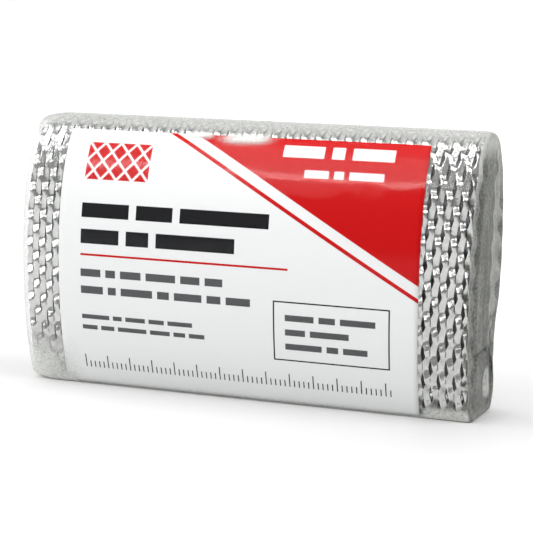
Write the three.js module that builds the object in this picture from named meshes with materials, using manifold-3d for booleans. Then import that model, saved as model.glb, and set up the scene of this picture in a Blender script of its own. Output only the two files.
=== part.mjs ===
// A wire mesh splint: one long strip of expanded aluminium mesh, rolled flat and
// standing on its long edge, with a paper label card on its front and a clear
// film wrap drawn tight round both.
//
// Millimetres, +Z up. X runs along the axis of the roll, the label faces -Y, and
// the origin is in the middle of the footprint, on the surface below.

import * as THREE from 'three';
import { mergeGeometries, mergeVertices } from 'three/addons/utils/BufferGeometryUtils.js';
import Module from 'manifold-3d';

// The wrapped pack's section, outside the film
const PACK_HEIGHT = 56.9;
const PACK_DEPTH = 24;
const BELLY_HEIGHT = 29.8; // where the section is deepest
const LOWER_REACH = 35; // lower half-axis, which the floor cuts short

// The mesh strip
const STRIP_WIDTH = 95;
const STRIP_LENGTH = 300;
const MESH_THICKNESS = 1.3;
const CORE_DEPTH = 6.2; // free depth left in the middle of the roll
const OUTER_END_ANGLE = 262; // degrees round the section, in the foot
const STEP_SHARE = 0.12; // last share of each turn, where it steps in

// The diamond openings of the mesh
const SHORT_PITCH = 3.13; // across the strip
const LONG_PITCH = 6.1; // along the strip, with every second row in between
const OPENING_SHORT = 1.5;
const OPENING_LONG = 4.3;
const OPENING_TOP_MARGIN = 2.5; // from the pack's top down to the highest row
const OPENING_BOTTOM = 4.6;

// The label card
const CARD_THICKNESS = 0.35;
const CARD_WIDTH = 76.5;
const CARD_MARGIN = 8.3; // bare mesh left of the card
const CARD_TOP_MARGIN = 3.1; // from the pack's top down to the card's
const CARD_BOTTOM = 1.6;

// The film wrap
const FILM_THICKNESS = 0.3;
const RIGHT_END_SLACK = 1.2; // how far past the mesh the right end panel lies
const VENT_DIAMETER = 2.4;
const VENT_HEIGHT = 16;
const VENT_SIDES = 16;

// The crushed ends: how far the section draws in, over what length, and where
// the sections that follow it lie, as shares of that length
const LEFT_CRUSH = 1.6;
const LEFT_CRUSH_REACH = 7;
const LEFT_SECTIONS = [0, 0.12, 0.4, 1];
const RIGHT_CRUSH = 0.5;
const RIGHT_CRUSH_REACH = 3;
const RIGHT_SECTIONS = [1, 0.4, 0];

// Dents at the back of the right end. height and spread are shares of the pack's
// height, depth is a share of the pack's depth and is positive inwards. The
// sections before the crush lie at shares of the dents' reach.
const DENT_REACH = 9;
const DENT_SECTIONS = [1, 0.65];
const DENTS = [
  { height: 0.23, spread: 0.085, depth: 0.055 },
  { height: 0.07, spread: 0.05, depth: -0.035 },
];

const GAP = 0.3; // between pieces that lie on each other
const CARD_EDGE_COSINE = 0.35; // how squarely the front faces out where the card's room ends
const STEPS_ROUND = 48; // facets in one turn round the section

const openingTop = PACK_HEIGHT - OPENING_TOP_MARGIN;
const cardTop = PACK_HEIGHT - CARD_TOP_MARGIN;
const packLength = STRIP_WIDTH + GAP + RIGHT_END_SLACK + 2 * FILM_THICKNESS;
const packLeft = -packLength / 2;
const packRight = packLength / 2;
const stripLeft = packLeft + FILM_THICKNESS + GAP;
const stripRight = stripLeft + STRIP_WIDTH;
const cardLeft = stripLeft + CARD_MARGIN;
const cardRight = cardLeft + CARD_WIDTH;

// Depth of each layer below the outside of the film
const cardFace = FILM_THICKNESS + GAP;
const cardBack = cardFace + CARD_THICKNESS;
const rollFace = { front: cardBack + GAP, rest: FILM_THICKNESS + GAP };

const wasm = await Module();
wasm.setup();

// How far the section draws in at x because an end is crushed.
function crushAt(x) {
  const round = (distance, depth, reach) => {
    const share = THREE.MathUtils.clamp(1 - distance / reach, 0, 1);
    return depth * (1 - Math.sqrt(1 - share ** 2));
  };
  return (
    round(x - packLeft, LEFT_CRUSH, LEFT_CRUSH_REACH) +
    round(packRight - x, RIGHT_CRUSH, RIGHT_CRUSH_REACH)
  );
}

// How far the back is pushed in at x and at a height, near the right end.
function dentAt(x, height) {
  const nearness = THREE.MathUtils.smoothstep(x, packRight - DENT_REACH, packRight);
  const push = DENTS.map((dent) => {
    const offset = (height / PACK_HEIGHT - dent.height) / dent.spread;
    return dent.depth * PACK_DEPTH * Math.exp(-(offset ** 2));
  });
  return nearness * push.reduce((sum, value) => sum + value, 0);
}

// One point of a layer's section. Angle 0 faces the front and a quarter turn is
// the top. The layer lies frontInset below the film's outside where the card
// lies, and inset below it round the top, the back and the foot, which the floor
// presses flat.
function layerPoint(x, angle, frontInset, inset) {
  const frontness = THREE.MathUtils.smoothstep(Math.cos(angle), 0, CARD_EDGE_COSINE);
  const below = crushAt(x) + THREE.MathUtils.lerp(inset, frontInset, frontness);
  const reach = Math.sin(angle) > 0 ? PACK_HEIGHT - BELLY_HEIGHT : LOWER_REACH;
  const height = BELLY_HEIGHT + (reach - below) * Math.sin(angle);
  const backness = Math.max(0, -Math.cos(angle));
  const y = -(PACK_DEPTH / 2 - below) * Math.cos(angle) - backness * dentAt(x, height);
  return new THREE.Vector3(x, y, Math.max(height, below));
}

// Places of the sections along X, close together where an end is crushed.
function stations(left, right) {
  const near = LEFT_SECTIONS.map((share) => left + share * LEFT_CRUSH_REACH);
  const dented = DENT_SECTIONS.map((share) => right - share * DENT_REACH);
  const far = RIGHT_SECTIONS.map((share) => right - share * RIGHT_CRUSH_REACH);
  return [...near, ...dented, ...far];
}

// A closed solid from a list of points and triangles.
function indexedGeometry(points, triangles) {
  const geometry = new THREE.BufferGeometry();
  const places = new Float32Array(points.flatMap((point) => point.toArray()));
  geometry.setAttribute('position', new THREE.BufferAttribute(places, 3));
  geometry.setIndex(triangles);
  return geometry;
}

// A closed solid lofted through rings of points, with a flat fan at each end.
function loft(rings) {
  const around = rings[0].length;
  const points = rings.flat();
  const triangles = [];
  for (let ring = 0; ring < rings.length - 1; ring += 1) {
    for (let step = 0; step < around; step += 1) {
      const a = ring * around + step;
      const b = ring * around + ((step + 1) % around);
      triangles.push(a, a + around, b, b, a + around, b + around);
    }
  }
  const addFan = (ring, first, flipped) => {
    const centre = new THREE.Vector3();
    ring.forEach((point) => centre.addScaledVector(point, 1 / around));
    points.push(centre);
    for (let step = 0; step < around; step += 1) {
      const a = first + step;
      const b = first + ((step + 1) % around);
      triangles.push(points.length - 1, flipped ? b : a, flipped ? a : b);
    }
  };
  addFan(rings[0], 0, false);
  addFan(rings[rings.length - 1], (rings.length - 1) * around, true);
  return indexedGeometry(points, triangles);
}

// A closed solid between two matching grids of points, outer and inner.
function slab(outer, inner) {
  const rows = outer.length;
  const columns = outer[0].length;
  const points = [...outer.flat(), ...inner.flat()];
  const at = (row, column) => row * columns + column;
  const back = rows * columns;
  const triangles = [];
  const quad = (a, b, c, d) => triangles.push(a, c, b, a, d, c);
  for (let row = 0; row < rows - 1; row += 1) {
    for (let column = 0; column < columns - 1; column += 1) {
      const [a, b] = [at(row, column), at(row, column + 1)];
      const [c, d] = [at(row + 1, column + 1), at(row + 1, column)];
      quad(a, b, c, d);
      quad(d + back, c + back, b + back, a + back);
    }
  }
  for (let row = 0; row < rows - 1; row += 1) {
    const [low, high] = [at(row, 0), at(row + 1, 0)];
    const [farLow, farHigh] = [at(row, columns - 1), at(row + 1, columns - 1)];
    quad(low, high, high + back, low + back);
    quad(farHigh, farLow, farLow + back, farHigh + back);
  }
  for (let column = 0; column < columns - 1; column += 1) {
    const [low, high] = [at(0, column), at(0, column + 1)];
    const [farLow, farHigh] = [at(rows - 1, column), at(rows - 1, column + 1)];
    quad(high, low, low + back, high + back);
    quad(farLow, farHigh, farHigh + back, farLow + back);
  }
  return indexedGeometry(points, triangles);
}

// A geometry as a solid that can be joined and cut, and back again.
function toSolid(geometry) {
  const bare = geometry.clone();
  bare.deleteAttribute('normal');
  bare.deleteAttribute('uv');
  const merged = mergeVertices(bare);
  return new wasm.Manifold(
    new wasm.Mesh({
      numProp: 3,
      vertProperties: new Float32Array(merged.attributes.position.array),
      triVerts: new Uint32Array(merged.index.array),
    }),
  );
}

function toGeometry(solid) {
  const mesh = solid.getMesh();
  const geometry = new THREE.BufferGeometry();
  geometry.setAttribute('position', new THREE.BufferAttribute(mesh.vertProperties, 3));
  geometry.setIndex(new THREE.BufferAttribute(mesh.triVerts, 1));
  return geometry;
}

// How far in the strip lies after a number of turns, counted in turn pitches.
function turnsIn(turns) {
  const whole = Math.floor(turns);
  return whole + THREE.MathUtils.smoothstep(turns - whole, 1 - STEP_SHARE, 1);
}

// A point on the strip's outer or inner face, at a number of turns from its
// outer end. The first turn follows the film, and each later one lies a turn
// pitch further in.
function stripPoint(x, turns, pitch, below) {
  const angle = THREE.MathUtils.degToRad(OUTER_END_ANGLE) - turns * 2 * Math.PI;
  const inset = turnsIn(turns) * pitch + below;
  return layerPoint(x, angle, rollFace.front + inset, rollFace.rest + inset);
}

// The strip's course through the roll: as many turns as its length needs, with
// the turn pitch that leaves the core free.
function rollCourse() {
  const room = PACK_DEPTH / 2 - rollFace.front - MESH_THICKNESS - CORE_DEPTH / 2;
  for (let innerTurns = 1; ; innerTurns += 1) {
    const pitch = room / innerTurns;
    const turns = [0];
    let length = 0;
    let last = stripPoint(0, 0, pitch, 0);
    while (length < STRIP_LENGTH && turns.at(-1) < innerTurns + 1) {
      turns.push(turns.at(-1) + 1 / STEPS_ROUND);
      const next = stripPoint(0, turns.at(-1), pitch, 0);
      length += last.distanceTo(next);
      last = next;
    }
    if (length >= STRIP_LENGTH) return { pitch, turns };
  }
}

// The places of the openings down the front of the outer turn: a point on the
// outer face, and the way up along the strip.
function openingRows({ pitch, turns }) {
  const front = turns.filter((value) => value < 1).map((value) => stripPoint(0, value, pitch, 0));
  const curve = new THREE.CurvePath();
  for (let index = 1; index < front.length; index += 1) {
    curve.add(new THREE.LineCurve3(front[index - 1], front[index]));
  }
  const count = Math.floor(curve.getLength() / (LONG_PITCH / 2));
  const rows = [];
  for (let row = 0; row <= count; row += 1) {
    const share = (row * LONG_PITCH) / 2 / curve.getLength();
    const point = curve.getPointAt(share);
    const inFront = point.y < 0 && point.z > OPENING_BOTTOM && point.z < openingTop;
    if (inFront) rows.push({ row, point, upwards: curve.getTangentAt(share).negate() });
  }
  return rows;
}

// The prisms that cut the openings in the two bare bands beside the label card.
function openingCutters(course) {
  const diamond = new THREE.Shape([
    new THREE.Vector2(-OPENING_SHORT / 2, 0),
    new THREE.Vector2(0, -OPENING_LONG / 2),
    new THREE.Vector2(OPENING_SHORT / 2, 0),
    new THREE.Vector2(0, OPENING_LONG / 2),
  ]);
  const through = MESH_THICKNESS + 2 * GAP;
  const bands = [
    { from: stripLeft, to: cardLeft },
    { from: cardRight, to: stripRight },
  ];
  const columns = Math.floor(STRIP_WIDTH / SHORT_PITCH);
  const firstColumn = stripLeft + (STRIP_WIDTH - columns * SHORT_PITCH) / 2;
  const cutters = [];
  openingRows(course).forEach(({ row, point, upwards }) => {
    const across = new THREE.Vector3(1, 0, 0);
    const outwards = new THREE.Vector3().crossVectors(across, upwards);
    const stagger = row % 2 ? 0.5 : 1;
    for (let column = 0; column < columns; column += 1) {
      const x = firstColumn + (column + stagger) * SHORT_PITCH;
      const clear = OPENING_SHORT / 2 + GAP;
      const bare = bands.some(({ from, to }) => x > from + clear && x < to - clear);
      if (!bare) continue;
      const crush = crushAt(x);
      const prism = new THREE.ExtrudeGeometry(diamond, { depth: through, bevelEnabled: false });
      prism.translate(0, 0, GAP - through - crush);
      prism.applyMatrix4(new THREE.Matrix4().makeBasis(across, upwards, outwards));
      prism.translate(x, point.y, point.z);
      cutters.push(prism);
    }
  });
  return cutters;
}

function makeMeshRoll() {
  const course = rollCourse();
  const places = stations(stripLeft, stripRight);
  const face = (below) =>
    course.turns.map((turns) => places.map((x) => stripPoint(x, turns, course.pitch, below)));
  const wall = toSolid(slab(face(0), face(MESH_THICKNESS)));
  const openings = toSolid(mergeGeometries(openingCutters(course)));
  return toGeometry(wall.subtract(openings));
}

function makeLabelCard() {
  const angleAt = (height, reach) => Math.asin((height - BELLY_HEIGHT) / reach);
  const top = angleAt(cardTop, PACK_HEIGHT - BELLY_HEIGHT - cardFace);
  const bottom = angleAt(CARD_BOTTOM, LOWER_REACH - cardFace);
  const steps = Math.round(STEPS_ROUND / 2);
  const face = (inset) =>
    Array.from({ length: steps + 1 }, (_, step) => {
      const angle = THREE.MathUtils.lerp(top, bottom, step / steps);
      return [cardLeft, cardRight].map((x) => layerPoint(x, angle, inset, inset));
    });
  return slab(face(cardFace), face(cardBack));
}

// The solid inside the film's outer or inner face.
function filmBody(inset) {
  const places = stations(packLeft + inset, packRight - inset);
  const rings = places.map((x) =>
    Array.from({ length: STEPS_ROUND }, (_, step) =>
      layerPoint(x, (step * 2 * Math.PI) / STEPS_ROUND, inset, inset),
    ),
  );
  return toSolid(loft(rings));
}

function makeFilmWrap() {
  const radius = VENT_DIAMETER / 2;
  const vent = new THREE.CylinderGeometry(radius, radius, RIGHT_END_SLACK, VENT_SIDES);
  vent.rotateZ(Math.PI / 2);
  vent.translate(packRight, 0, VENT_HEIGHT);
  const shell = filmBody(0).subtract(filmBody(FILM_THICKNESS));
  return toGeometry(shell.subtract(toSolid(vent)));
}

function addPiece(group, name, geometry, look) {
  const mesh = new THREE.Mesh(geometry, new THREE.MeshStandardMaterial(look));
  geometry.computeVertexNormals();
  mesh.name = name;
  group.add(mesh);
}

const splint = new THREE.Group();
addPiece(splint, 'mesh_roll', makeMeshRoll(), { color: 0xc9ccca, metalness: 1, roughness: 0.32 });
addPiece(splint, 'label_card', makeLabelCard(), { color: 0xe9e9ec, metalness: 0, roughness: 0.5 });
addPiece(splint, 'film_wrap', makeFilmWrap(), {
  color: 0xf4f6f6,
  metalness: 0,
  roughness: 0.08,
  transparent: true,
  opacity: 0.25,
});

export default splint;
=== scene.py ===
# The looks of a rolled wire mesh splint in clear film, standing on its long edge.
#
# Every length is in millimetres until Blender is given it, and in the frame of
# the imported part: X along the roll's axis, -Y out of the label's face, +Z up.

import math

import bpy
import numpy as np
from mathutils import Matrix, Vector


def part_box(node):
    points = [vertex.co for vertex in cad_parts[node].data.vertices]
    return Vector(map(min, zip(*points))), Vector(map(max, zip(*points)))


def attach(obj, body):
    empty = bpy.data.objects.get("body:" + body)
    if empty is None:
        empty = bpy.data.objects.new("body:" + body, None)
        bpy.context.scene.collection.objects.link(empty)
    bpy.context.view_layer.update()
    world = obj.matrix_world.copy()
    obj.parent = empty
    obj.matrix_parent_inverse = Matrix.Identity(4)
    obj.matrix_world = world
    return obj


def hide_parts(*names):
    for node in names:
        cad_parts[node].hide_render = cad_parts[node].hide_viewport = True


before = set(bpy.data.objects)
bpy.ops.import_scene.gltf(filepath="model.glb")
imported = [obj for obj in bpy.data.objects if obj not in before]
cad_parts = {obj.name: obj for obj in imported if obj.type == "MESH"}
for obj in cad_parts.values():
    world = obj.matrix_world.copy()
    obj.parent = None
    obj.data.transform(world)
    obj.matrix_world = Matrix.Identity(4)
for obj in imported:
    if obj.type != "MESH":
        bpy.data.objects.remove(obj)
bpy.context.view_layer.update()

MM = 0.001


def node_box(name):
    low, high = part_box(name)
    return np.array(low) / MM, np.array(high) / MM


film_low, film_high = node_box("film_wrap")
roll_low, roll_high = node_box("mesh_roll")
card_low, card_high = node_box("label_card")

# The pack's section, which follows that of the solids
PACK_LEFT, PACK_RIGHT = film_low[0], film_high[0]
PACK_HEIGHT = film_high[2]
PACK_DEPTH = film_high[1] - film_low[1]
BELLY_HEIGHT = 29.8
LOWER_REACH = 35.0
FOOT_ROUNDING = 0.6
LEFT_CRUSH, LEFT_CRUSH_REACH = 1.6, 7.0
RIGHT_CRUSH, RIGHT_CRUSH_REACH = 0.5, 3.0

# Dents at the back of the right end, deeper than the solids have. Heights and
# spreads are shares of the pack's height, and depths are shares of its depth.
DENT_REACH = 9.0
DENTS = [
    {"height": 0.25, "spread": 0.13, "depth": 0.16},
    {"height": 0.215, "spread": 0.025, "depth": -0.035},
    {"height": 0.06, "spread": 0.06, "depth": -0.12},
]

# The course of the strip through the roll, from its outer end in the foot
STRIP_LEFT, STRIP_RIGHT = roll_low[0], roll_high[0]
STRIP_LENGTH = 300.0
OUTER_END_ANGLE = math.radians(262)
STEP_SHARE = 0.12
TURN_PITCH = 3.175
MOST_TURNS = 3.5
COURSE_SAMPLES = 7001

# Expanded mesh: a sheet cut in staggered slits and drawn open. The metal on the
# right of each slit is raised into a rounded lip and falls towards the next one.
SHORT_PITCH = 3.11
LONG_PITCH = 6.1
STRAND_WIDTH = SHORT_PITCH / 2
STRAND_COUNT = int((STRIP_RIGHT - STRIP_LEFT) / STRAND_WIDTH)
FIRST_LINE = (STRIP_LEFT + STRIP_RIGHT - STRAND_COUNT * STRAND_WIDTH) / 2
RINGS_PER_PITCH = 12
INNER_RINGS_PER_PITCH = 6
SLIT_RINGS = 8
SLIT_LENGTH = LONG_PITCH * SLIT_RINGS / RINGS_PER_PITCH
SLIT_OPENING = 1.05
SLIT_WAIST = LONG_PITCH / RINGS_PER_PITCH
SLIT_ROUNDNESS = 0.8
SLIT_VARIATION = 0.08
LIP_HEIGHT = 0.8
LIP_RISE = LONG_PITCH / RINGS_PER_PITCH
DIP_DEPTH = 0.6
DIP_DROP = LONG_PITCH / RINGS_PER_PITCH
SHEET_THICKNESS = 0.4
PLATE_CURVE = 1.8
LIP_SECTION = [
    {"across": 0.0, "fall": 0.34},
    {"across": 0.1, "fall": 0.08},
    {"across": 0.24, "fall": 0.0},
    {"across": 0.45, "fall": 0.0},
    {"across": 0.66, "fall": 0.0},
    {"across": 0.85, "fall": 0.0},
    {"across": 1.0, "fall": 0.0},
]
UNDERSIDE = [1.0, 0.5, 0.0]
SHARP_ANGLE = math.radians(48)

# Layers, measured in from the outside of the film. The card reaches lower than
# its solid by its tuck.
FILM_DEPTH = 0.05
FILM_THICKNESS = 0.06
FILM_ROWS, FILM_COLUMNS = 121, 192
CARD_DEPTH = 0.3
CARD_THICKNESS = 0.16
CARD_TUCK = 1.5
CARD_ROWS, CARD_COLUMNS = 61, 77
MESH_DEPTH = 0.55

# The film's ends, where its rows crowd together. Each is closed by rings from
# the rim to a small hub, is flat inside a share of the way out, and on the right
# takes its grey over from the rim within a few rings.
END_CROWDING = 0.9
LEFT_END_RINGS, RIGHT_END_RINGS = 12, 72
END_HUB_SHARE = 0.01
END_FLAT_SHARE = 0.75
RIM_BLEND_RINGS = 4.0

# The film's right end: slack over the mesh's cut edge at the front, waves of the
# mesh's back edge that show through it, a fold across it and a round corner fold
FRONT_SLACK = 1.45
FRONT_SLACK_REACH = 2.5
FRONT_COSINES = (-0.7, 0.5)
SCALLOP_SHARE = 0.35
EDGE_WAVE_DEPTH = 0.45
EDGE_WAVE_REACH = 5.0
EDGE_PUSH = 0.45
EDGE_PUSH_SPAN = (4.0, 9.0)
RIDGE_WAVE = 1.1
RIDGE_FEET = (12.0, 18.0)
RIDGES = [
    {"y": 4.4, "width": 0.9, "depth": 0.3},
    {"y": 7.0, "width": 0.8, "depth": 0.5},
    {"y": 9.4, "width": 0.8, "depth": 0.55},
]
FOLD = {"z": 13.2, "slope": -0.03, "width": 0.35, "depth": 0.9}
FOLD_FRONT, FOLD_BACK, FOLD_FADE = -9.0, 3.0, 1.0
CORNER_FOLD = {"y": 3.6, "z": 6.3, "radius": 2.4, "inner": 1.0, "width": 0.45, "depth": 0.75}
CORNER_FOLD_FADE = (-1.5, 0.5)

# How hazy the film is, and how grey its haze is, from 0 to 1. An edge is a span
# outwards from the strip's left end or the pack's right end. Sines are those of
# the angle round the section. The foot's haze rises higher where no card is.
FILM_MIRROR = 0.014
CLEAR_COLOUR = (0.985, 0.988, 0.985, 1)
HAZE_WHITE = (0.80, 0.81, 0.78, 1)
# The grey haze makes the film's right end dark: painted shade for the roll's end in shadow behind
# it, over real haze where the film is gathered.
HAZE_GREY = (0.085, 0.089, 0.079, 1)
LEFT_HAZE, LEFT_EDGE = 0.08, (-0.4, 0.5)
RIGHT_HAZE, RIGHT_EDGE = 0.93, (-1.5, -0.6)
TOP_HAZE, TOP_SINES = 0.42, (0.9, 0.97)
# The white haze at the foot and the low left corner is partly real and partly painted light,
# lightening parts that face down.
FOOT_HAZE, FOOT_SINES = 0.5, (0.82, 0.87)
BARE_FADE, BARE_FOOT_RISE = 1.5, 0.06
CORNER_HAZE, CORNER_REACH, CORNER_SINES = 0.6, (34.0, 46.0), (0.48, 0.82)
TOP_GREY = 0.45
RIM_GREY, RIM_TOP_PALENESS, RIM_TOP_SINES = 0.8, 0.22, (0.45, 0.85)

# Milky white patches of the film over the label's top edge, which are painted glare. Their rise
# and height are sines of the angle too.
GLARE_HAZE, GLARE_SLOPE = 0.75, 0.15
GLARES = [
    {"x": -11.0, "rise": 0.885, "width": 2.6, "height": 0.018},
    {"x": -1.0, "rise": 0.875, "width": 4.5, "height": 0.028},
]

# Greyness of the film's right end, which is painted shade over real haze: paler behind the mesh's
# back edge, which is lined with a painted highlight and a painted shadow, in the folded corner
# and at the top
END_GREY = 0.94
ABOVE_FOLD = (8.0, 20.0)
END_BACK, END_BACK_PALENESS = (6.4, 7.4), 0.3
# Along the mesh's back edge: a painted highlight where the grey falls, and a painted shadow where
# it rises.
END_LINES = [
    {"y": 5.4, "width": 0.4, "change": -0.4},
    {"y": 6.2, "width": 0.4, "change": 0.06},
]
END_CORNER, END_CORNER_SHIFT, END_CORNER_PALENESS = (2.4, 3.4), 0.6, 0.42
END_TOP, END_TOP_PALENESS = (50.0, 56.0), 0.5

# The label card's print, in millimetres from its lower left corner: a red corner
# field with a stripe, blocks where a label has words, a rule, a box and diamonds
WEDGE_START, WEDGE_TOP = 20.0, 58.5
WEDGE_END, WEDGE_LOW = 76.5, 26.0
STRIPE_GAP, STRIPE_WIDTH = 2.4, 0.9
WORD_STYLES = {
    "title": {"height": 3.0, "gap": 1.6, "ink": "dark"},
    "underline": {"height": 0.45, "gap": 1.0, "ink": "red"},
    "text": {"height": 1.6, "gap": 1.1, "ink": "grey"},
    "small": {"height": 0.95, "gap": 0.8, "ink": "grey"},
    "boxed": {"height": 1.3, "gap": 1.0, "ink": "grey"},
    "banner": {"height": 2.6, "gap": 1.6, "ink": "white"},
    "banner text": {"height": 1.6, "gap": 1.1, "ink": "white"},
}
WORD_ROWS = [
    {"style": "title", "left": 5.0, "middle": 36.6, "words": (10.5, 8.0, 19.0)},
    {"style": "title", "left": 5.0, "middle": 31.2, "words": (8.5, 5.0, 17.0)},
    {"style": "underline", "left": 5.0, "middle": 27.4, "words": (45.0,)},
    {"style": "text", "left": 5.0, "middle": 23.6, "words": (4.5, 2.2, 4.6, 6.5, 4.2, 3.8)},
    {"style": "text", "left": 5.0, "middle": 20.0, "words": (5.0, 1.8, 7.0, 2.6, 6.0, 3.0, 5.2)},
    {"style": "small", "left": 5.0, "middle": 14.2, "words": (6.2, 2.0, 4.4, 3.4, 5.4)},
    {"style": "small", "left": 5.0, "middle": 11.9, "words": (3.4, 3.0, 6.4, 4.4, 2.6, 3.4)},
    {"style": "boxed", "left": 49.5, "middle": 17.6, "words": (6.0, 3.4, 7.2)},
    {"style": "boxed", "left": 49.5, "middle": 14.6, "words": (4.2, 8.0)},
    {"style": "boxed", "left": 49.5, "middle": 11.6, "words": (7.6, 2.4, 5.0)},
    {"style": "banner", "left": 47.0, "middle": 51.2, "words": (8.5, 2.6, 8.5)},
    {"style": "banner text", "left": 52.0, "middle": 46.6, "words": (5.0, 2.0, 7.0)},
]
RULE_LEFT, RULE_RIGHT, RULE_MARGIN = 5.0, 71.0, 0.2
RULE_FOOT, RULE_SHORT, RULE_LONG = 2.6, 1.5, 3.0
RULE_STEP, RULE_LONG_EVERY, RULE_LINE = 1.0, 5, 0.24
BOX = {"left": 47.0, "right": 71.0, "low": 8.5, "high": 21.0}
BOX_LINE = 0.3
DIAMONDS = {"left": 5.0, "right": 19.0, "low": 43.0, "high": 51.0}
DIAMOND_ACROSS, DIAMOND_ALONG, DIAMOND_GAP = 3.5, 4.0, 0.1
PAPER_COLOUR = (0.80, 0.80, 0.81, 1)
INKS = {
    "dark": (0.012, 0.012, 0.014, 1),
    "grey": (0.09, 0.09, 0.095, 1),
    "red": (0.52, 0.003, 0.004, 1),
    "white": (0.80, 0.80, 0.81, 1),
}

# Finishes. A noise repeats about scale times in a metre, and is drawn out along
# an axis where its stretch is below 1. A bump's distance is the height in
# millimetres that its 0 to 1 spans.
EVEN = (1.0, 1.0, 1.0)
NOISES = {
    "metal grain": {"scale": 2600.0, "detail": 4.0, "stretch": (1.0, 1.0, 0.25)},
    "metal dimples": {"scale": 1300.0, "detail": 2.0, "stretch": EVEN},
    "metal sheen": {"scale": 500.0, "detail": 4.0, "stretch": EVEN},
    "paper fibre": {"scale": 2200.0, "detail": 4.0, "stretch": EVEN},
    "film patches": {"scale": 1700.0, "detail": 3.0, "stretch": EVEN},
    "film streaks": {"scale": 330.0, "detail": 4.0, "stretch": (1.0, 1.0, 0.35)},
    "film swells": {"scale": 60.0, "detail": 1.0, "stretch": EVEN},
    "film cloud": {"scale": 300.0, "detail": 4.0, "stretch": (1.0, 1.0, 0.5)},
}
BUMPS = {
    "metal": {"distance": 0.05, "strength": 0.8},
    "paper": {"distance": 0.012, "strength": 0.5},
    "film": {"distance": 0.06, "strength": 0.7},
}
BRIGHT_METAL = {"dark": (0.54, 0.54, 0.535, 1), "light": (0.80, 0.80, 0.795, 1)}
# The hidden inner turns get a darker copy of the metal: painted shade for the light that the
# outer turn keeps from them.
SHADED_METAL = {"dark": (0.32, 0.32, 0.32, 1), "light": (0.46, 0.46, 0.46, 1)}
METAL_ROUGHNESS, METAL_ROUGHNESS_SPREAD = 0.16, 0.16
DIMPLE_HEIGHT = 2.0
PAPER_ROUGHNESS, PAPER_SPECULAR = 0.5, 0.06
FILM_ROUGHNESS = 0.09
HAZE_ROUGHNESS, HAZE_SPECULAR = 0.5, 0.05
HAZE_PATCHINESS = 2.6
GREY_STREAK_HEIGHT, SWELL_HEIGHT = 3.0, 9.0
CLOUD_LEAST, CLOUD_SPREAD, CLOUD_PATCHES = 0.5, 0.4, 0.6
GLANCE_POWER = 5.0

# Camera
CAMERA_AZIMUTH = math.radians(19.12)
CAMERA_ELEVATION = math.radians(8.27)
CAMERA_ROLL = math.radians(1.46)
CAMERA_DISTANCE = 319.4
CAMERA_AIM = np.array([-0.45, 0.0, 28.0])
AIM_RIGHT, AIM_UP = 2.29, -1.24
LENS_MM = 104.46
SENSOR_MM = 36.0
CLIP_START = 10.0

# Floor and lamps
FLOOR_FRONT, FLOOR_BACK, FLOOR_SIDE = -3000.0, 1400.0, 4000.0
BACKDROP_RADIUS, BACKDROP_TOP, BACKDROP_STEPS = 500.0, 2600.0, 25
FLOOR_COLOUR = (0.6, 0.6, 0.6, 1)
FLOOR_ROUGHNESS = 0.6
MIDDLE = (0, 0, 28)
BACKDROP = (0, 1900, 500)
LAMPS = [
    {"name": "key", "at": (-470, -590, 640), "aim": MIDDLE, "size": (760, 560), "watts": 3.5},
    {"name": "strip", "at": (-330, -775, 567), "aim": MIDDLE, "size": (420, 70), "watts": 1.2},
    {"name": "front", "at": (0, -520, 780), "aim": MIDDLE, "size": (700, 640), "watts": 2.7},
    {"name": "top", "at": (-100, 200, 950), "aim": MIDDLE, "size": (700, 600), "watts": 2.6},
    {"name": "side", "at": (-700, 60, 420), "aim": MIDDLE, "size": (800, 700), "watts": 5.2},
    {"name": "right", "at": (620, -60, 640), "aim": MIDDLE, "size": (500, 400), "watts": 5.0},
    {"name": "backdrop", "at": (0, 700, 1200), "aim": BACKDROP, "size": (2400, 500), "watts": 50},
]
WORLD_COLOUR = (0.8, 0.8, 0.8, 1)
WORLD_STRENGTH = 0.34


# Shape helpers


def smooth_step(value, low, high):
    share = np.clip((value - low) / (high - low), 0.0, 1.0)
    return share * share * (3.0 - 2.0 * share)


def bell(offset, width):
    """1 in the middle, falling away on both sides over a width."""
    share = offset / width
    return np.exp(-share * share)


def above_floor(height, floor):
    """A height pressed flat at the floor, with a soft round where it meets it."""
    rise = height - floor
    rounded = floor + (rise + FOOT_ROUNDING) ** 2 / (4 * FOOT_ROUNDING)
    pressed = np.where(rise < -FOOT_ROUNDING, floor, rounded)
    return np.where(rise > FOOT_ROUNDING, height, pressed)


def crush_at(x):
    """How far the section draws in at x because an end is crushed."""

    def rounded(distance, depth, reach):
        share = np.clip(1.0 - distance / reach, 0.0, 1.0)
        return depth * (1.0 - np.sqrt(1.0 - share * share))

    left = rounded(x - PACK_LEFT, LEFT_CRUSH, LEFT_CRUSH_REACH)
    return left + rounded(PACK_RIGHT - x, RIGHT_CRUSH, RIGHT_CRUSH_REACH)


def dent_at(x, height):
    """How far the back is pushed in near the right end."""
    nearness = smooth_step(x, PACK_RIGHT - DENT_REACH, PACK_RIGHT)
    push = np.zeros(np.broadcast(x, height).shape)
    for dent in DENTS:
        offset = height / PACK_HEIGHT - dent["height"]
        push = push + dent["depth"] * PACK_DEPTH * bell(offset, dent["spread"])
    return nearness * push


def layer_points(x, angle, depth_in):
    """Points of the layer that lies depth_in below the film's outside. Angle 0
    faces the front and a quarter turn is the top."""
    below = depth_in + crush_at(x)
    reach = np.where(np.sin(angle) > 0, PACK_HEIGHT - BELLY_HEIGHT, LOWER_REACH)
    height = BELLY_HEIGHT + (reach - below) * np.sin(angle)
    backness = np.maximum(0.0, -np.cos(angle))
    y = -(PACK_DEPTH / 2 - below) * np.cos(angle) - backness * dent_at(x, height)
    z = above_floor(height, below)
    return np.stack(np.broadcast_arrays(x, y, z), axis=-1)


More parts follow.
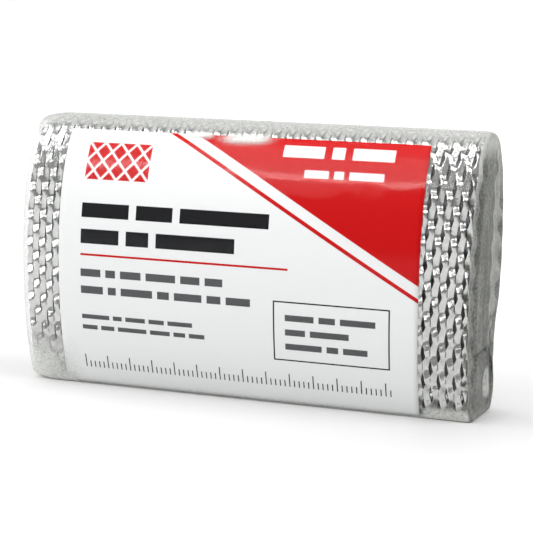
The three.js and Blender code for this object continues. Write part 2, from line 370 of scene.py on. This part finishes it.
def new_mesh(name, points, faces):
    """A smooth mesh object from points in millimetres."""
    mesh = bpy.data.meshes.new(name)
    mesh.from_pydata((np.asarray(points) * MM).tolist(), [], faces)
    mesh.polygons.foreach_set("use_smooth", [True] * len(mesh.polygons))
    mesh.update()
    piece = bpy.data.objects.new(name, mesh)
    bpy.context.scene.collection.objects.link(piece)
    return piece


def grid_faces(rows, columns, closed, base=0, flipped=False):
    """The faces of a grid of points, closed round its columns if asked."""
    faces = []
    for row in range(rows - 1):
        for column in range(columns if closed else columns - 1):
            a = base + row * columns + column
            b = base + row * columns + (column + 1) % columns
            face = (a, b, b + columns, a + columns)
            faces.append(face[::-1] if flipped else face)
    return faces


def tube_faces(base, rings, around):
    """The faces of a closed tube of rings."""
    faces = []
    for ring in range(rings - 1):
        start = base + ring * around
        for side in range(around):
            near, far = start + side, start + (side + 1) % around
            faces.append((near, far, far + around, near + around))
    faces.append(tuple(base + side for side in reversed(range(around))))
    last = base + (rings - 1) * around
    faces.append(tuple(last + side for side in range(around)))
    return faces


# The mesh strip


def turns_in(turns):
    whole = np.floor(turns)
    return whole + smooth_step(turns - whole, 1.0 - STEP_SHARE, 1.0)


def strip_points(x, turns, depth_in):
    """Points of the strip, at a number of turns from its outer end."""
    angle = OUTER_END_ANGLE - turns * 2 * math.pi
    return layer_points(x, angle, depth_in + turns_in(turns) * TURN_PITCH)


def turns_at_lengths(step):
    """The numbers of turns that lie a step apart along the strip."""
    turns = np.linspace(0.0, MOST_TURNS, COURSE_SAMPLES)
    course = strip_points(np.zeros_like(turns), turns, MESH_DEPTH)
    lengths = np.linalg.norm(np.diff(course, axis=0), axis=1)
    along = np.concatenate([[0.0], np.cumsum(lengths)])
    wanted = np.arange(0.0, STRIP_LENGTH, step)
    return wanted, np.interp(wanted, along, turns)


def slit_shares(line, lengths):
    """How far a line of slits is open, how high its lips stand, and how deep the
    metal before it dips, each from 0 to about 1. On the front a slit is widest
    low down."""
    rng = np.random.default_rng(line)
    cycles = lengths / LONG_PITCH + line / 2
    nearest = np.round(cycles)
    offset = (cycles - nearest) * LONG_PITCH
    cells = (nearest - nearest.min()).astype(int)
    scale = 1.0 + SLIT_VARIATION * rng.uniform(-1, 1, cells.max() + 1)[cells]

    def peak(crest):
        above = (offset + SLIT_LENGTH / 2) / (crest + SLIT_LENGTH / 2)
        below = (SLIT_LENGTH / 2 - offset) / (SLIT_LENGTH / 2 - crest)
        return np.maximum(0.0, np.minimum(above, below))

    opening = peak(SLIT_WAIST) ** SLIT_ROUNDNESS
    lip = smooth_step(peak(-LIP_RISE), 0.0, 1.0)
    dip = smooth_step(peak(DIP_DROP), 0.0, 1.0)
    return scale * opening, scale * lip, scale * dip


def plate_height(across, rise, drop):
    """The height of a strand across its width, from its raised left edge, beside
    one slit, to its dipped right edge, beside the next."""
    raised = rise * (1.0 - across ** PLATE_CURVE)
    return raised - drop * (1.0 - (1.0 - across) ** PLATE_CURVE)


def make_strands(name, strands, lengths, turns, fine):
    """Some of the sheet's strands, each between one line of slits and the next."""
    rows = LIP_SECTION if fine else [LIP_SECTION[0], LIP_SECTION[-1]]
    under = UNDERSIDE if fine else [UNDERSIDE[0], UNDERSIDE[-1]]
    points, faces = [], []
    for strand in strands:
        left_open, lip, _ = slit_shares(strand, lengths)
        right_open, _, dip = slit_shares(strand + 1, lengths)
        left = FIRST_LINE + strand * STRAND_WIDTH + left_open * SLIT_OPENING / 2
        right = FIRST_LINE + (strand + 1) * STRAND_WIDTH - right_open * SLIT_OPENING / 2
        rise, drop = LIP_HEIGHT * lip, DIP_DEPTH * dip
        section = []
        for row in rows:
            height = plate_height(row["across"], rise, drop) - row["fall"] * lip
            section.append((left + (right - left) * row["across"], height))
        for across in under:
            height = plate_height(across, rise, drop) - SHEET_THICKNESS
            section.append((left + (right - left) * across, height))
        base = sum(len(part) for part in points)
        surface = MESH_DEPTH + LIP_HEIGHT
        lines = [strip_points(x, turns, surface - height) for x, height in section]
        points.append(np.stack(lines, axis=1).reshape(-1, 3))
        faces += tube_faces(base, len(lengths), len(section))
    return new_mesh(name, np.concatenate(points), faces)


def make_mesh_roll():
    """The strip in three pieces: two halves of the outer turn, and the turns
    that it hides."""
    strands = range(STRAND_COUNT)
    middle = STRAND_COUNT // 2
    lengths, turns = turns_at_lengths(LONG_PITCH / RINGS_PER_PITCH)
    outer = turns < 1.0
    seam = turns[outer][-2]
    course = (lengths[outer], turns[outer])
    pieces = [
        make_strands("mesh_outer_left", strands[:middle], *course, True),
        make_strands("mesh_outer_right", strands[middle:], *course, True),
    ]
    lengths, turns = turns_at_lengths(LONG_PITCH / INNER_RINGS_PER_PITCH)
    inner = turns > seam
    course = (lengths[inner], turns[inner])
    pieces.append(make_strands("mesh_inner_turns", strands, *course, False))
    bright = mesh_metal("mesh_metal", **BRIGHT_METAL)
    # The darker copy is painted shade on the turns the outer one hides.
    shaded = mesh_metal("mesh_metal_shaded", **SHADED_METAL)
    for piece in pieces:
        piece.data.materials.append(shaded if piece is pieces[-1] else bright)
        piece.data.set_sharp_from_angle(angle=SHARP_ANGLE)
    return pieces


# Building blocks of the materials


class Nodes:
    """A new material, with short calls for building its nodes."""

    def __init__(self, name):
        self.material = bpy.data.materials.new(name)
        self.material.use_nodes = True
        self.tree = self.material.node_tree
        self.shader = self.tree.nodes["Principled BSDF"].inputs

    def new(self, kind):
        return self.tree.nodes.new("ShaderNode" + kind)

    def link(self, value, socket):
        """Feed a socket from another node, or set it to a plain value."""
        if isinstance(value, bpy.types.NodeSocket):
            self.tree.links.new(value, socket)
        else:
            socket.default_value = value

    def math(self, operation, *values):
        node = self.new("Math")
        node.operation = operation
        for value, socket in zip(values, node.inputs):
            self.link(value, socket)
        return node.outputs[0]

    def attribute(self, name):
        node = self.new("Attribute")
        node.attribute_name = name
        return node.outputs["Fac"]

    def inside(self, value, low, high):
        """1 where value lies between low and high."""
        return self.math("COMPARE", value, (low + high) / 2, (high - low) / 2)

    def rectangle(self, u, v, left, right, low, high):
        return self.math("MULTIPLY", self.inside(u, left, right), self.inside(v, low, high))

    def mix(self, share, first, second):
        """A colour between two."""
        node = self.new("Mix")
        node.data_type = "RGBA"
        self.link(share, node.inputs["Factor"])
        self.link(first, node.inputs["A"])
        self.link(second, node.inputs["B"])
        return node.outputs["Result"]

    def mix_shaders(self, share, first, second):
        node = self.new("MixShader")
        for value, socket in zip((share, first, second), node.inputs):
            self.link(value, socket)
        return node.outputs[0]

    def noise(self, kind):
        """Noise over the piece, from 0 to 1."""
        place, mapping, texture = self.new("TexCoord"), self.new("Mapping"), self.new("TexNoise")
        mapping.inputs["Scale"].default_value = NOISES[kind]["stretch"]
        texture.inputs["Scale"].default_value = NOISES[kind]["scale"]
        texture.inputs["Detail"].default_value = NOISES[kind]["detail"]
        self.link(place.outputs["Object"], mapping.inputs["Vector"])
        self.link(mapping.outputs["Vector"], texture.inputs["Vector"])
        return texture.outputs["Fac"]

    def bump(self, height, kind):
        """A normal that follows a height."""
        node = self.new("Bump")
        node.inputs["Distance"].default_value = BUMPS[kind]["distance"] * MM
        node.inputs["Strength"].default_value = BUMPS[kind]["strength"]
        self.link(height, node.inputs["Height"])
        return node.outputs["Normal"]


def mesh_metal(name, dark, light):
    """Bright rolled aluminium, dimpled, with fine draw marks and an uneven sheen."""
    build = Nodes(name)
    grain = build.noise("metal grain")
    roughness = build.math("MULTIPLY_ADD", grain, METAL_ROUGHNESS_SPREAD, METAL_ROUGHNESS)
    height = build.math("MULTIPLY_ADD", build.noise("metal dimples"), DIMPLE_HEIGHT, grain)
    build.link(build.mix(build.noise("metal sheen"), dark, light), build.shader["Base Color"])
    build.link(1.0, build.shader["Metallic"])
    build.link(roughness, build.shader["Roughness"])
    build.link(build.bump(height, "metal"), build.shader["Normal"])
    return build.material


# The label card


def word_mask(build, u, v, ink):
    """1 on the plain word blocks that are printed in one ink."""
    mask = 0.0
    for row in WORD_ROWS:
        style = WORD_STYLES[row["style"]]
        if style["ink"] != ink:
            continue
        left = row["left"]
        blocks = 0.0
        for width in row["words"]:
            blocks = build.math("MAXIMUM", blocks, build.inside(u, left, left + width))
            left += width + style["gap"]
        low, high = row["middle"] - style["height"] / 2, row["middle"] + style["height"] / 2
        line = build.math("MULTIPLY", blocks, build.inside(v, low, high))
        mask = build.math("MAXIMUM", mask, line)
    return mask


def wedge_masks(build, u, v):
    """1 on the red corner field, and 1 on the thin stripe that follows it."""
    slope = (WEDGE_LOW - WEDGE_TOP) / (WEDGE_END - WEDGE_START)
    drop = build.math("MULTIPLY", build.math("SUBTRACT", u, WEDGE_START), slope)
    over = build.math("SUBTRACT", build.math("SUBTRACT", v, WEDGE_TOP), drop)
    field = build.math("GREATER_THAN", over, 0.0)
    return field, build.inside(over, -STRIPE_GAP - STRIPE_WIDTH, -STRIPE_GAP)


def box_mask(build, u, v):
    """1 on the thin outline of a box."""
    left, right = BOX["left"] + BOX_LINE, BOX["right"] - BOX_LINE
    low, high = BOX["low"] + BOX_LINE, BOX["high"] - BOX_LINE
    inner = build.rectangle(u, v, left, right, low, high)
    return build.math("SUBTRACT", build.rectangle(u, v, **BOX), inner)


def rule_mask(build, u, v):
    """1 on the ticks of a plain rule along the card's foot."""
    position = build.math("SUBTRACT", u, RULE_LEFT)
    phase = build.math("PINGPONG", position, RULE_STEP / 2)
    tick = build.math("LESS_THAN", phase, RULE_LINE / 2)
    long_phase = build.math("PINGPONG", position, RULE_STEP * RULE_LONG_EVERY / 2)
    is_long = build.math("LESS_THAN", long_phase, RULE_LINE)
    top = build.math("MULTIPLY_ADD", is_long, RULE_LONG - RULE_SHORT, RULE_FOOT + RULE_SHORT)
    above = build.math("GREATER_THAN", v, RULE_FOOT)
    below = build.math("LESS_THAN", v, top)
    tick = build.math("MULTIPLY", tick, build.math("MULTIPLY", above, below))
    along = build.inside(u, RULE_LEFT - RULE_MARGIN, RULE_RIGHT + RULE_MARGIN)
    return build.math("MULTIPLY", tick, along)


def diamond_mask(build, u, v):
    """1 on a small patch of filled diamonds, set as the openings of plain mesh."""
    from_left = build.math("SUBTRACT", u, DIAMONDS["left"])
    from_low = build.math("SUBTRACT", v, DIAMONDS["low"])
    across = build.math("DIVIDE", from_left, DIAMOND_ACROSS)
    along = build.math("DIVIDE", from_low, DIAMOND_ALONG)
    rising = build.math("PINGPONG", build.math("ADD", across, along), 0.5)
    falling = build.math("PINGPONG", build.math("SUBTRACT", across, along), 0.5)
    filled = build.math("GREATER_THAN", build.math("MINIMUM", rising, falling), DIAMOND_GAP)
    return build.math("MULTIPLY", filled, build.rectangle(u, v, **DIAMONDS))


def card_paper():
    """Smooth coated paper with its print."""
    build = Nodes("card_paper")
    place, split = build.new("UVMap"), build.new("SeparateXYZ")
    place.uv_map = "print"
    build.link(place.outputs["UV"], split.inputs[0])
    u, v = split.outputs["X"], split.outputs["Y"]
    field, stripe = wedge_masks(build, u, v)
    red = build.math("MAXIMUM", field, stripe)
    red = build.math("MAXIMUM", red, word_mask(build, u, v, "red"))
    red = build.math("MAXIMUM", red, diamond_mask(build, u, v))
    dark = build.math("MAXIMUM", word_mask(build, u, v, "dark"), rule_mask(build, u, v))
    dark = build.math("MAXIMUM", dark, box_mask(build, u, v))
    colour = build.mix(red, PAPER_COLOUR, INKS["red"])
    colour = build.mix(word_mask(build, u, v, "white"), colour, INKS["white"])
    colour = build.mix(word_mask(build, u, v, "grey"), colour, INKS["grey"])
    colour = build.mix(dark, colour, INKS["dark"])
    build.link(colour, build.shader["Base Color"])
    build.link(PAPER_ROUGHNESS, build.shader["Roughness"])
    build.link(PAPER_SPECULAR, build.shader["Specular IOR Level"])
    build.link(build.bump(build.noise("paper fibre"), "paper"), build.shader["Normal"])
    return build.material


def card_angles():
    """Angles up the front, from the card's bottom to its top."""
    upper = PACK_HEIGHT - BELLY_HEIGHT - CARD_DEPTH
    lower = LOWER_REACH - CARD_DEPTH
    top = math.asin((card_high[2] - BELLY_HEIGHT) / upper)
    bottom = math.asin((card_low[2] - CARD_TUCK - BELLY_HEIGHT) / lower)
    return np.linspace(bottom, top, CARD_ROWS)


def card_rim():
    """The points round the card's edge, in order."""
    last = (CARD_ROWS - 1) * CARD_COLUMNS
    foot = list(range(CARD_COLUMNS))
    right = [row * CARD_COLUMNS + CARD_COLUMNS - 1 for row in range(1, CARD_ROWS)]
    head = [last + column for column in range(CARD_COLUMNS - 2, -1, -1)]
    left = [row * CARD_COLUMNS for row in range(CARD_ROWS - 2, 0, -1)]
    return foot + right + head + left


def make_label_card():
    x = np.linspace(card_low[0], card_high[0], CARD_COLUMNS)[None, :]
    angles = card_angles()[:, None]
    front = layer_points(x, angles, CARD_DEPTH)
    back = layer_points(x, angles, CARD_DEPTH + CARD_THICKNESS)
    points = np.concatenate([front.reshape(-1, 3), back.reshape(-1, 3)])
    size = CARD_ROWS * CARD_COLUMNS
    faces = grid_faces(CARD_ROWS, CARD_COLUMNS, False)
    faces += grid_faces(CARD_ROWS, CARD_COLUMNS, False, size, True)
    rim = card_rim()
    for near, far in zip(rim, rim[1:] + rim[:1]):
        faces.append((far, near, near + size, far + size))
    card = new_mesh("label_card_print", points, faces)
    add_print_map(card, front)
    card.data.materials.append(card_paper())
    return card


def add_print_map(card, front):
    """Millimetres from the lower left corner of the card's solid, as a UV map."""
    rise = np.linalg.norm(np.diff(front[:, 0], axis=0), axis=1)
    along = np.concatenate([[0.0], np.cumsum(rise)])
    across = front[0, :, 0] - front[0, 0, 0]
    flat = np.stack(np.meshgrid(across, along - CARD_TUCK), axis=-1).reshape(-1, 2)
    flat = np.concatenate([flat, flat])
    layer = card.data.uv_layers.new(name="print")
    corners = np.zeros(len(card.data.loops), dtype=np.int32)
    card.data.loops.foreach_get("vertex_index", corners)
    layer.data.foreach_set("uv", flat[corners].astype(np.float32).ravel())


# The film


def glancing_share(build):
    """How much the film mirrors: little head on, nearly all at a glance, and
    less where it is hazy. Only its outside does."""
    facing = build.new("LayerWeight")
    rise = build.math("POWER", facing.outputs["Facing"], GLANCE_POWER)
    mirror = build.math("MULTIPLY_ADD", rise, 1.0 - FILM_MIRROR, FILM_MIRROR)
    outside = build.math("SUBTRACT", 1.0, build.new("NewGeometry").outputs["Backfacing"])
    clearness = build.math("SUBTRACT", 1.0, build.attribute("haze"))
    return build.math("MULTIPLY", build.math("MULTIPLY", outside, mirror), clearness)


def patchy_haze(build):
    """How hazy the film is: even where it is thick, and patchy where it is thin."""
    haze = build.attribute("haze")
    unevenness = build.math("MULTIPLY", haze, build.math("SUBTRACT", 1.0, haze))
    patches = build.noise("film patches")
    patches = build.math("MULTIPLY_ADD", patches, HAZE_PATCHINESS, -HAZE_PATCHINESS / 2)
    return build.math("MULTIPLY_ADD", unevenness, patches, haze)


def clear_film():
    """Thin clear film: light goes straight through, less what its gloss throws back. Where it is
    gathered at the ends it is hazy, and at the right end its haze is grey with painted shade."""
    build = Nodes("clear_film")
    grey = build.attribute("grey")
    patches = build.noise("film patches")
    streak_height = build.math("MULTIPLY_ADD", grey, GREY_STREAK_HEIGHT, 1.0)
    height = build.math("MULTIPLY", build.noise("film streaks"), streak_height)
    height = build.math("MULTIPLY_ADD", patches, grey, height)
    height = build.math("MULTIPLY_ADD", build.noise("film swells"), SWELL_HEIGHT, height)
    ripple = build.bump(height, "film")
    clear, gloss = build.new("BsdfTransparent"), build.new("BsdfGlossy")
    build.link(CLEAR_COLOUR, clear.inputs["Color"])
    build.link(FILM_ROUGHNESS, gloss.inputs["Roughness"])
    build.link(ripple, gloss.inputs["Normal"])
    cloud = build.math("MULTIPLY_ADD", build.noise("film cloud"), CLOUD_SPREAD, CLOUD_LEAST)
    cloud = build.math("MULTIPLY_ADD", patches, CLOUD_PATCHES, cloud)
    colour = build.mix(build.math("MULTIPLY", grey, cloud), HAZE_WHITE, HAZE_GREY)
    build.link(colour, build.shader["Base Color"])
    build.link(HAZE_ROUGHNESS, build.shader["Roughness"])
    build.link(HAZE_SPECULAR, build.shader["Specular IOR Level"])
    build.link(ripple, build.shader["Normal"])
    milk = build.tree.nodes["Principled BSDF"].outputs[0]
    body = build.mix_shaders(patchy_haze(build), clear.outputs[0], milk)
    skin = build.mix_shaders(glancing_share(build), body, gloss.outputs[0])
    build.link(skin, build.tree.nodes["Material Output"].inputs["Surface"])
    return build.material


def edge_wave(z):
    """The wave that the mesh's cut edge makes up the pack, from -1 to 1."""
    return np.cos(2 * math.pi * z / LONG_PITCH)


def end_slack(x, angle):
    """How far the film's end is drawn in by the waves of the mesh's back edge."""
    nearness = smooth_step(x, PACK_RIGHT - EDGE_WAVE_REACH, PACK_RIGHT)
    height = BELLY_HEIGHT + (PACK_HEIGHT - BELLY_HEIGHT) * np.sin(angle)
    wave = 0.5 - 0.5 * edge_wave(height)
    return EDGE_WAVE_DEPTH * nearness * wave * np.maximum(0.0, -np.cos(angle))


def front_slack(x, angle, z):
    """How far the film's right rim is drawn in over the front, scalloped where it
    lies over the mesh's cut edge."""
    nearness = smooth_step(x, PACK_RIGHT - FRONT_SLACK_REACH, PACK_RIGHT)
    frontness = smooth_step(np.cos(angle), *FRONT_COSINES)
    scallops = 1.0 - SCALLOP_SHARE * (0.5 + 0.5 * edge_wave(z))
    return FRONT_SLACK * nearness * frontness * scallops


def end_relief(y, z):
    """How far the film's right end is pushed in at a place."""
    relief = EDGE_PUSH * (0.5 + 0.5 * edge_wave(z)) * smooth_step(y, *EDGE_PUSH_SPAN)
    for ridge in RIDGES:
        offset = y - ridge["y"] - RIDGE_WAVE * edge_wave(z)
        relief += ridge["depth"] * bell(offset, ridge["width"]) * smooth_step(z, *RIDGE_FEET)
    fold = bell(z - FOLD["z"] - FOLD["slope"] * y, FOLD["width"])
    fold = fold * smooth_step(y, FOLD_FRONT, FOLD_FRONT + FOLD_FADE)
    relief += FOLD["depth"] * fold * smooth_step(FOLD_BACK + FOLD_FADE - y, 0.0, FOLD_FADE)
    distance = np.hypot(y - CORNER_FOLD["y"], z - CORNER_FOLD["z"])
    outer = bell(distance - CORNER_FOLD["radius"], CORNER_FOLD["width"])
    outer = outer * smooth_step(CORNER_FOLD["y"] - y, *CORNER_FOLD_FADE)
    inner = bell(distance - CORNER_FOLD["inner"], CORNER_FOLD["width"])
    return relief + CORNER_FOLD["depth"] * (outer + inner)


def film_tone(x, angle):
    """How hazy the film's long skin is, and how grey that haze is."""
    rise = np.sin(angle)
    right = smooth_step(x - PACK_RIGHT, *RIGHT_EDGE)
    left = smooth_step(STRIP_LEFT - x, *LEFT_EDGE)
    top = smooth_step(rise, *TOP_SINES)
    bare = smooth_step(np.abs(x) - card_high[0], 0.0, BARE_FADE)
    foot = smooth_step(BARE_FOOT_RISE * bare - rise, *FOOT_SINES)
    corner = smooth_step(-x, *CORNER_REACH) * smooth_step(-rise, *CORNER_SINES)
    haze = np.maximum(RIGHT_HAZE * right + LEFT_HAZE * left, TOP_HAZE * top)
    # Partly painted light: white haze that lightens the foot and the low left corner, which face
    # down.
    haze = np.maximum(haze, np.maximum(FOOT_HAZE * foot, CORNER_HAZE * corner))
    # Painted glare over the label's top edge, as white haze.
    haze = np.maximum(haze, GLARE_HAZE * glare_at(x, angle))
    # The right rim's grey is painted shade, paler towards the top.
    rim = RIM_GREY - RIM_TOP_PALENESS * smooth_step(rise, *RIM_TOP_SINES)
    grey = np.maximum(rim * right, TOP_GREY * top)
    return haze, np.broadcast_to(grey, haze.shape)


def glare_at(x, angle):
    """How milky the film is over the label's top edge, as painted glare."""
    glares = []
    for glare in GLARES:
        across = (x - glare["x"]) / glare["width"]
        up = (np.sin(angle) - glare["rise"]) / glare["height"] - GLARE_SLOPE * across
        glares.append(np.exp(-across ** 4 - up ** 2))
    return np.where(np.cos(angle) > 0, np.max(glares, axis=0), 0.0)


def end_tone(y, z):
    """How grey the film's right end is: painted shade, paler in places, with a painted highlight
    and a painted shadow along the mesh's back edge.
    """
    behind = y - RIDGE_WAVE * edge_wave(z)
    over_fold = smooth_step(z, *ABOVE_FOLD)
    back = smooth_step(behind, *END_BACK) * over_fold
    from_corner = y - CORNER_FOLD["y"] - END_CORNER_SHIFT
    distance = np.hypot(from_corner, z - CORNER_FOLD["z"])
    corner = 1.0 - smooth_step(distance, *END_CORNER)
    top = smooth_step(z, *END_TOP)
    pale = np.maximum(END_BACK_PALENESS * back, END_CORNER_PALENESS * corner)
    tone = END_GREY - np.maximum(pale, END_TOP_PALENESS * top)
    # Painted highlight and shadow lines along the mesh's back edge.
    for line in END_LINES:
        tone = tone + line["change"] * bell(behind - line["y"], line["width"]) * over_fold
    return tone


def close_end(rim, rings):
    """Rings that close an end, from beside its rim to its hub."""
    shares = np.linspace(1.0, 0.0, rings + 1)[1:, None, None]
    hub = rim.mean(axis=0)
    end = hub + (rim - hub) * np.maximum(shares, END_HUB_SHARE)
    near_rim = smooth_step(shares[:, :, 0], END_FLAT_SHARE, 1.0)
    end[:, :, 0] = hub[0] + (rim[:, 0] - hub[0]) * near_rim
    return end


def film_layer(depth):
    """One face of the film, its haze and its greyness: its long skin, and the
    rings that close each end."""
    angles = np.linspace(0, 2 * math.pi, FILM_COLUMNS, endpoint=False)[None, :]
    spread = np.linspace(-1, 1, FILM_ROWS)
    spread = spread + END_CROWDING * np.sin(math.pi * spread) / math.pi
    x = (PACK_RIGHT - depth) * spread[:, None]
    skin = layer_points(x, angles, depth + end_slack(x, angles))
    skin[:, :, 0] -= front_slack(x, angles, skin[:, :, 2])
    left_end = close_end(skin[0], LEFT_END_RINGS)
    right_end = close_end(skin[-1], RIGHT_END_RINGS)
    right_end[:, :, 0] -= end_relief(right_end[:, :, 1], right_end[:, :, 2])
    layer = np.concatenate([left_end[::-1], skin, right_end])
    haze, grey = film_tone(x, angles)
    left_haze = np.full(left_end.shape[:2], LEFT_HAZE)
    right_haze = np.full(right_end.shape[:2], RIGHT_HAZE)
    from_rim = smooth_step(np.arange(RIGHT_END_RINGS), 0.0, RIM_BLEND_RINGS)[:, None]
    right_grey = end_tone(right_end[:, :, 1], right_end[:, :, 2])
    right_grey = grey[-1] + (right_grey - grey[-1]) * from_rim
    haze = np.concatenate([left_haze, haze, right_haze])
    grey = np.concatenate([np.zeros(left_haze.shape), grey, right_grey])
    return layer, haze.ravel(), grey.ravel()


def make_film():
    """The film with an outer and an inner face."""
    points, faces, tones = [], [], {"haze": [], "grey": []}
    for index, depth in enumerate((FILM_DEPTH, FILM_DEPTH + FILM_THICKNESS)):
        layer, haze, grey = film_layer(depth)
        base = sum(len(part) for part in points)
        end = base + (len(layer) - 1) * FILM_COLUMNS
        faces += grid_faces(len(layer), FILM_COLUMNS, True, base, index == 0)
        first = tuple(range(base, base + FILM_COLUMNS))
        last = tuple(range(end, end + FILM_COLUMNS))
        faces += [first[::-1], last] if index else [first, last[::-1]]
        points.append(layer.reshape(-1, 3))
        tones["haze"].append(haze)
        tones["grey"].append(grey)
    film = new_mesh("film_skin", np.concatenate(points), faces)
    for name, values in tones.items():
        attribute = film.data.attributes.new(name, "FLOAT", "POINT")
        attribute.data.foreach_set("value", np.concatenate(values).astype(np.float32))
    film.data.materials.append(clear_film())
    return film


# The studio


def make_camera():
    """A camera that looks at the pack from the front, a little from the right
    and from above."""
    sin_a, cos_a = math.sin(CAMERA_AZIMUTH), math.cos(CAMERA_AZIMUTH)
    sin_e, cos_e = math.sin(CAMERA_ELEVATION), math.cos(CAMERA_ELEVATION)
    ahead = np.array([-sin_a * cos_e, cos_a * cos_e, -sin_e])
    level = np.array([cos_a, sin_a, 0.0])
    upright = np.cross(level, ahead)
    cos_r, sin_r = math.cos(CAMERA_ROLL), math.sin(CAMERA_ROLL)
    right = cos_r * level + sin_r * upright
    up = -sin_r * level + cos_r * upright
    place = CAMERA_AIM - CAMERA_DISTANCE * ahead
    aim = CAMERA_AIM + AIM_RIGHT * right + AIM_UP * up
    ahead = (aim - place) / np.linalg.norm(aim - place)
    right = np.cross(ahead, up)
    right /= np.linalg.norm(right)
    up = np.cross(right, ahead)
    camera = bpy.data.objects.new("camera", bpy.data.cameras.new("camera"))
    camera.data.lens = LENS_MM
    camera.data.sensor_width = SENSOR_MM
    camera.data.clip_start = CLIP_START * MM
    rows = np.column_stack([right, up, -ahead, place * MM]).tolist()
    camera.matrix_world = Matrix(rows + [[0, 0, 0, 1]])
    bpy.context.scene.collection.objects.link(camera)
    bpy.context.scene.camera = camera


def make_floor():
    """A pale floor that sweeps up into a backdrop behind the part."""
    bend = np.linspace(0, math.pi / 2, BACKDROP_STEPS)
    swept = FLOOR_BACK + BACKDROP_RADIUS * np.sin(bend)
    y = np.concatenate([[FLOOR_FRONT], swept, [FLOOR_BACK + BACKDROP_RADIUS]])
    risen = BACKDROP_RADIUS - BACKDROP_RADIUS * np.cos(bend)
    z = np.concatenate([[0.0], risen, [BACKDROP_TOP]])
    left = np.stack([np.full_like(y, -FLOOR_SIDE), y, z], axis=1)
    right = np.stack([np.full_like(y, FLOOR_SIDE), y, z], axis=1)
    points = np.stack([left, right], axis=1).reshape(-1, 3)
    faces = [(row * 2, row * 2 + 1, row * 2 + 3, row * 2 + 2) for row in range(len(y) - 1)]
    floor = new_mesh("floor", points, faces)
    build = Nodes("floor")
    build.link(FLOOR_COLOUR, build.shader["Base Color"])
    build.link(FLOOR_ROUGHNESS, build.shader["Roughness"])
    floor.data.materials.append(build.material)


def add_lamp(lamp):
    light = bpy.data.lights.new(lamp["name"], "AREA")
    light.shape = "RECTANGLE"
    light.size, light.size_y = lamp["size"][0] * MM, lamp["size"][1] * MM
    light.energy = lamp["watts"]
    holder = bpy.data.objects.new(lamp["name"], light)
    place, aim = Vector(lamp["at"]) * MM, Vector(lamp["aim"]) * MM
    holder.location = place
    holder.rotation_euler = (aim - place).to_track_quat("-Z", "Y").to_euler()
    bpy.context.scene.collection.objects.link(holder)


def make_lights():
    for lamp in LAMPS:
        add_lamp(lamp)
    world = bpy.data.worlds.new("studio")
    world.use_nodes = True
    background = world.node_tree.nodes["Background"]
    background.inputs["Color"].default_value = WORLD_COLOUR
    background.inputs["Strength"].default_value = WORLD_STRENGTH
    bpy.context.scene.world = world


make_camera()
make_floor()
make_lights()
bpy.context.scene.view_settings.view_transform = "Standard"
mesh_pieces = make_mesh_roll()
card = make_label_card()
film = make_film()
dressed = [(piece, "mesh", "mesh_roll") for piece in mesh_pieces]
dressed += [(card, "card", "label_card"), (film, "film", "film_wrap")]
for piece, slot, node in dressed:
    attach(piece, "root")
    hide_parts(node)
